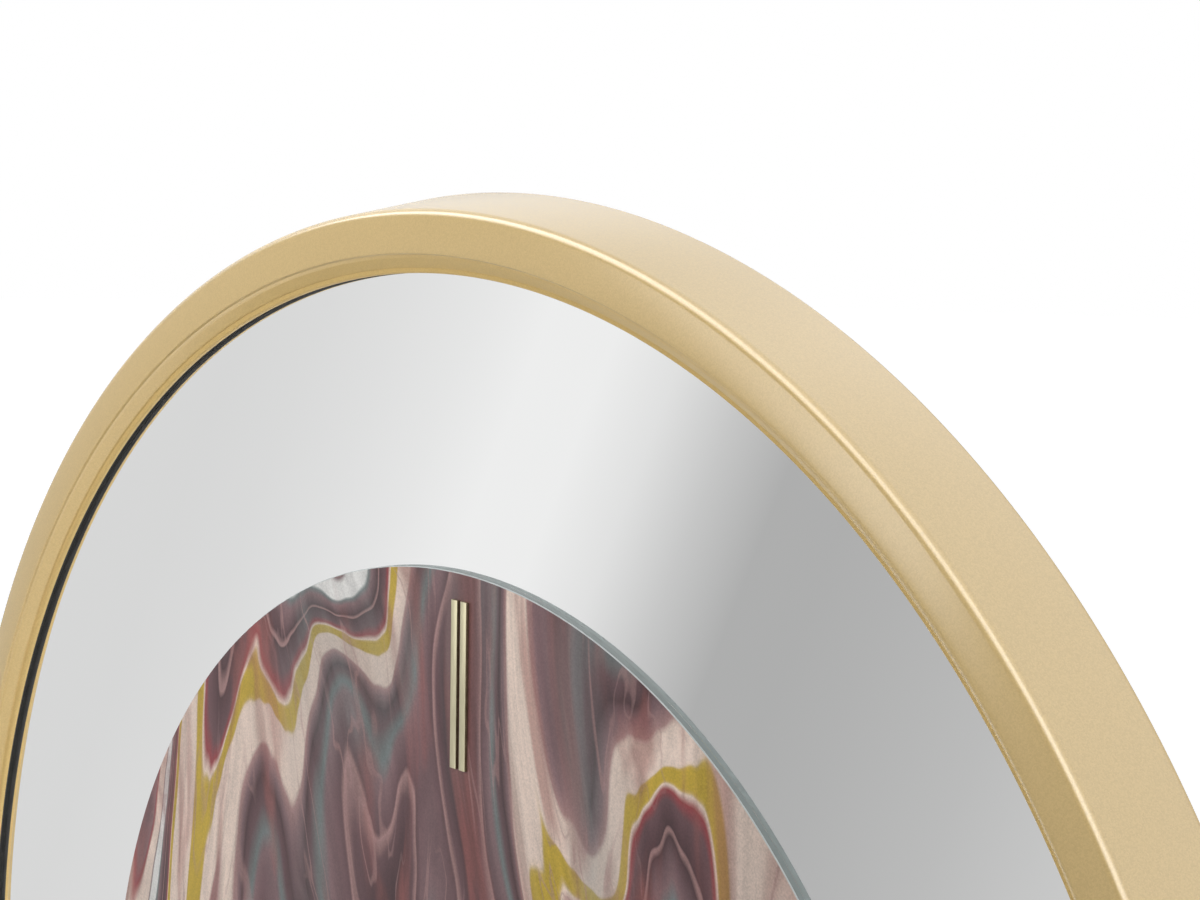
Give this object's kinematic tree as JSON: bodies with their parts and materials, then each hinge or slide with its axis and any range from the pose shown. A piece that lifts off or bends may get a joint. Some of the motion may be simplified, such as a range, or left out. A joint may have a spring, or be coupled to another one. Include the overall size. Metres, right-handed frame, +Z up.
{
  "type": "mirror clock",
  "caption": "Round wall clock with a deep gold rim around a mirror, a printed glass dial with bar markers, and a battery quartz movement behind it.",
  "frame": {"origin": "on the clock's axis, in the plane of the rim's back edge, where it rests against the wall", "axes": "+Z up to twelve o'clock, +Y into the wall, +X to three o'clock"},
  "size_m": [0.6095, 0.036, 0.6094],
  "materials": {
    "gold_lacquer": "satin metallic lacquer on moulded plastic",
    "black_foam": "closed-cell foam strip",
    "mirror_silver": "silvered float glass",
    "fibreboard": "bare fibreboard",
    "zinc_steel": "zinc plated",
    "dial_print": "glass with a marbled print behind it",
    "clear_film": "clear adhesive film",
    "bar_gold": "pale gold face with dark cut edges",
    "hand_gold": "satin gold lacquer",
    "nut_brass": "turned brass",
    "rubber_black": "soft rubber",
    "case_black": "fine spark-eroded texture",
    "bridge_ivory": "moulded acetal",
    "gear_ivory": "moulded acetal",
    "arbor_brass": "turned brass",
    "shaft_grey": "moulded acetal",
    "knob_black": "moulded, fluted edge",
    "magnet_grey": "sintered magnet",
    "stator_steel": "stamped soft iron",
    "bobbin_ivory": "moulded nylon",
    "winding_copper": "enamelled copper wire",
    "board_green": "solder mask",
    "can_bright": "drawn steel",
    "chip_resin": "cast resin",
    "contact_steel": "nickel plated strip",
    "cell_can": "nickel plated can",
    "cell_sleeve": "shrunk plastic sleeve"
  },
  "bodies": {
    "case": {"rim": "gold_lacquer", "lip_gasket": "black_foam", "mirror_plate": "mirror_silver", "back_panel": "fibreboard", "panel_screws": "zinc_steel", "hanger_bracket": "zinc_steel", "hanger_screws": "zinc_steel", "dial_adhesive": "clear_film", "dial_glass": "dial_print", "marker_12": "bar_gold", "marker_3": "bar_gold", "marker_6": "bar_gold", "marker_9": "bar_gold", "movement_gasket": "rubber_black", "fixing_washer": "nut_brass", "fixing_nut": "nut_brass", "movement_shell": "case_black", "movement_cover": "case_black", "train_bridge": "bridge_ivory", "stator_plate": "stator_steel", "coil_core": "stator_steel", "coil_bobbin": "bobbin_ivory", "coil_winding": "winding_copper", "circuit_board": "board_green", "crystal_can": "can_bright", "chip_blob": "chip_resin", "contact_positive": "contact_steel", "contact_negative": "contact_steel"},
    "minute": {"cannon_pinion": "arbor_brass", "minute_hand": "hand_gold", "hand_nut": "hand_gold"},
    "hour": {"hour_wheel": "gear_ivory", "hour_hand": "hand_gold"},
    "motion": {"motion_wheel": "gear_ivory"},
    "setting": {"setting_shaft": "shaft_grey", "setting_knob": "knob_black"},
    "clutch": {"clutch_wheel": "gear_ivory"},
    "third": {"third_wheel": "gear_ivory"},
    "seconds": {"second_wheel": "gear_ivory"},
    "intermediate": {"intermediate_wheel": "gear_ivory"},
    "rotor": {"rotor_pinion": "gear_ivory", "rotor_magnet": "magnet_grey"},
    "cell": {"battery_can": "cell_can", "battery_sleeve": "cell_sleeve", "battery_cap": "cell_can"}
  },
  "joints": [
    {"name": "minute_turn", "type": "hinge", "parent": "case", "child": "minute", "pos_m": [0, -0.033, 0], "axis": [0, 1, 0], "continuous": true},
    {"name": "hour_turn", "type": "hinge", "parent": "case", "child": "hour", "pos_m": [0, -0.031, 0], "axis": [0, 1, 0], "continuous": true},
    {"name": "motion_turn", "type": "hinge", "parent": "case", "child": "motion", "pos_m": [-0.009, -0.018, 0], "axis": [0, 1, 0], "continuous": true},
    {"name": "setting_turn", "type": "hinge", "parent": "case", "child": "setting", "pos_m": [-0.01746, -0.012, 0.00308], "axis": [0, 1, 0], "continuous": true},
    {"name": "second_turn", "type": "hinge", "parent": "case", "child": "seconds", "pos_m": [0, -0.0135, 0], "axis": [0, 1, 0], "continuous": true},
    {"name": "third_turn", "type": "hinge", "parent": "case", "child": "third", "pos_m": [-0.00248, -0.015, 0.00926], "axis": [0, 1, 0], "continuous": true},
    {"name": "clutch_turn", "type": "hinge", "parent": "case", "child": "clutch", "pos_m": [0, -0.016, 0], "axis": [0, 1, 0], "continuous": true},
    {"name": "intermediate_turn", "type": "hinge", "parent": "case", "child": "intermediate", "pos_m": [0.00979, -0.0125, 0], "axis": [0, 1, 0], "continuous": true},
    {"name": "rotor_turn", "type": "hinge", "parent": "case", "child": "rotor", "pos_m": [0.01669, -0.0145, 0.00579], "axis": [0, 1, 0], "continuous": true},
    {"name": "cell_lift", "type": "slide", "parent": "case", "child": "cell", "axis": [0, 1, 0], "range_m": [0, 0.03]}
  ],
  "couplings": [
    {"joint": "hour_turn", "follows": "minute_turn", "ratio": 0.083333},
    {"joint": "motion_turn", "follows": "minute_turn", "ratio": -0.33333},
    {"joint": "setting_turn", "follows": "minute_turn", "ratio": 1},
    {"joint": "third_turn", "follows": "second_turn", "ratio": -0.13333},
    {"joint": "clutch_turn", "follows": "second_turn", "ratio": 0.016667},
    {"joint": "intermediate_turn", "follows": "second_turn", "ratio": -6},
    {"joint": "rotor_turn", "follows": "second_turn", "ratio": 30}
  ]
}
